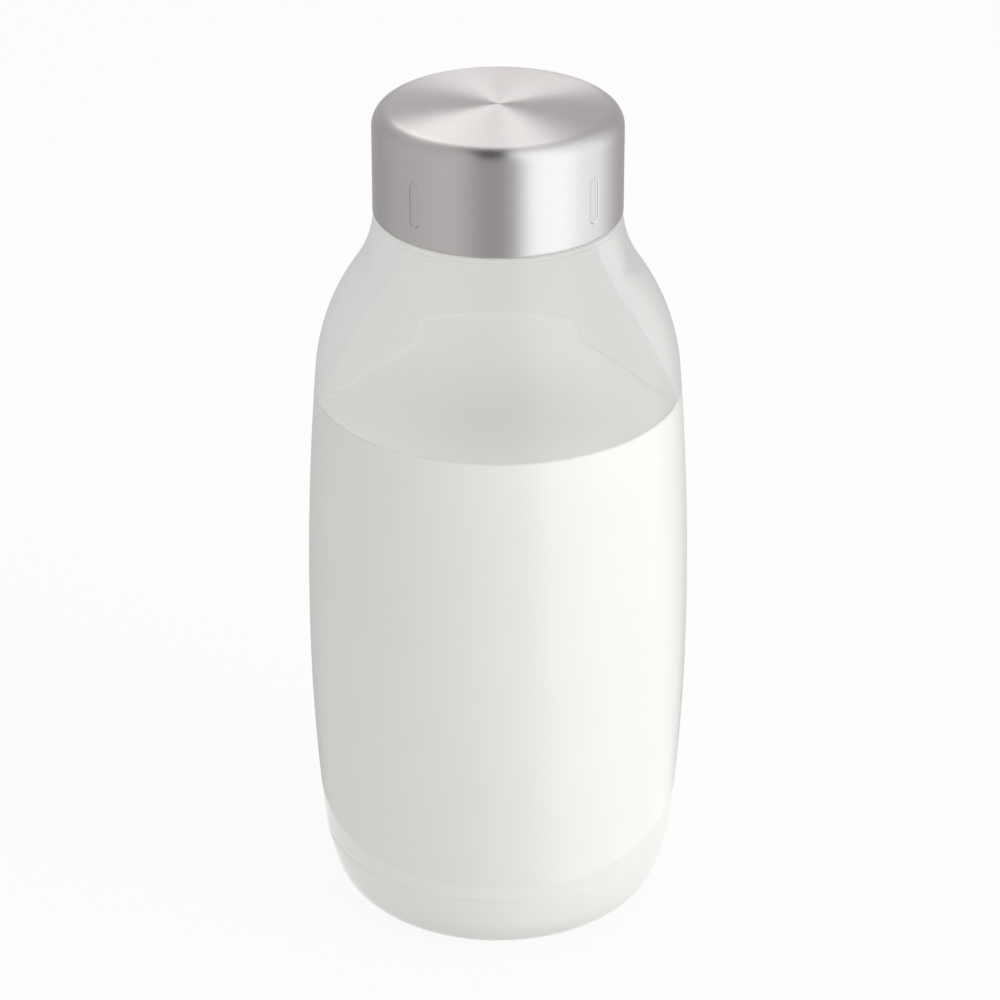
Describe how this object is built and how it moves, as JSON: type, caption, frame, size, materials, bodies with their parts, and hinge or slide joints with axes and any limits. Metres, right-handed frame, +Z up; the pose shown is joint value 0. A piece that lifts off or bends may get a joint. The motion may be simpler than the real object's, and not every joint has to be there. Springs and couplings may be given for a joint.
{
  "type": "milk bottle",
  "caption": "Clear glass milk bottle with bellied barrel, round heel and sloping shoulder, filled with milk and closed by a brushed steel screw cap with threaded liner and gasket.",
  "frame": {"origin": "centre of the base, on the plane that the foot ring stands on", "axes": "+Z up along the bottle's axis, -Y towards the viewer"},
  "size_m": [0.1004, 0.1004, 0.226],
  "materials": {
    "clear_glass": "clear, fire-polished flint glass",
    "milk": "opaque off-white liquid",
    "brushed_steel": "stainless sheet, spun on top and brushed round the side",
    "liner_plastic": "moulded, satin",
    "silicone": "moulded, matt, translucent white"
  },
  "bodies": {
    "bottle": {"glass_bottle": "clear_glass", "milk": "milk"},
    "seal": {"gasket": "silicone"},
    "cap": {"cap_shell": "brushed_steel", "thread_insert": "liner_plastic"}
  },
  "joints": [
    {"name": "cap_lift", "type": "slide", "parent": "bottle", "child": "seal", "axis": [0, 0, 1], "range_m": [0, 0.03]},
    {"name": "cap_turn", "type": "hinge", "parent": "seal", "child": "cap", "pos_m": [0, 0, 0.2225], "axis": [0, 0, 1], "range_deg": [0, 600]}
  ],
  "couplings": [
    {"joint": "cap_lift", "follows": "cap_turn", "m_per_rad": 0.0028648}
  ]
}
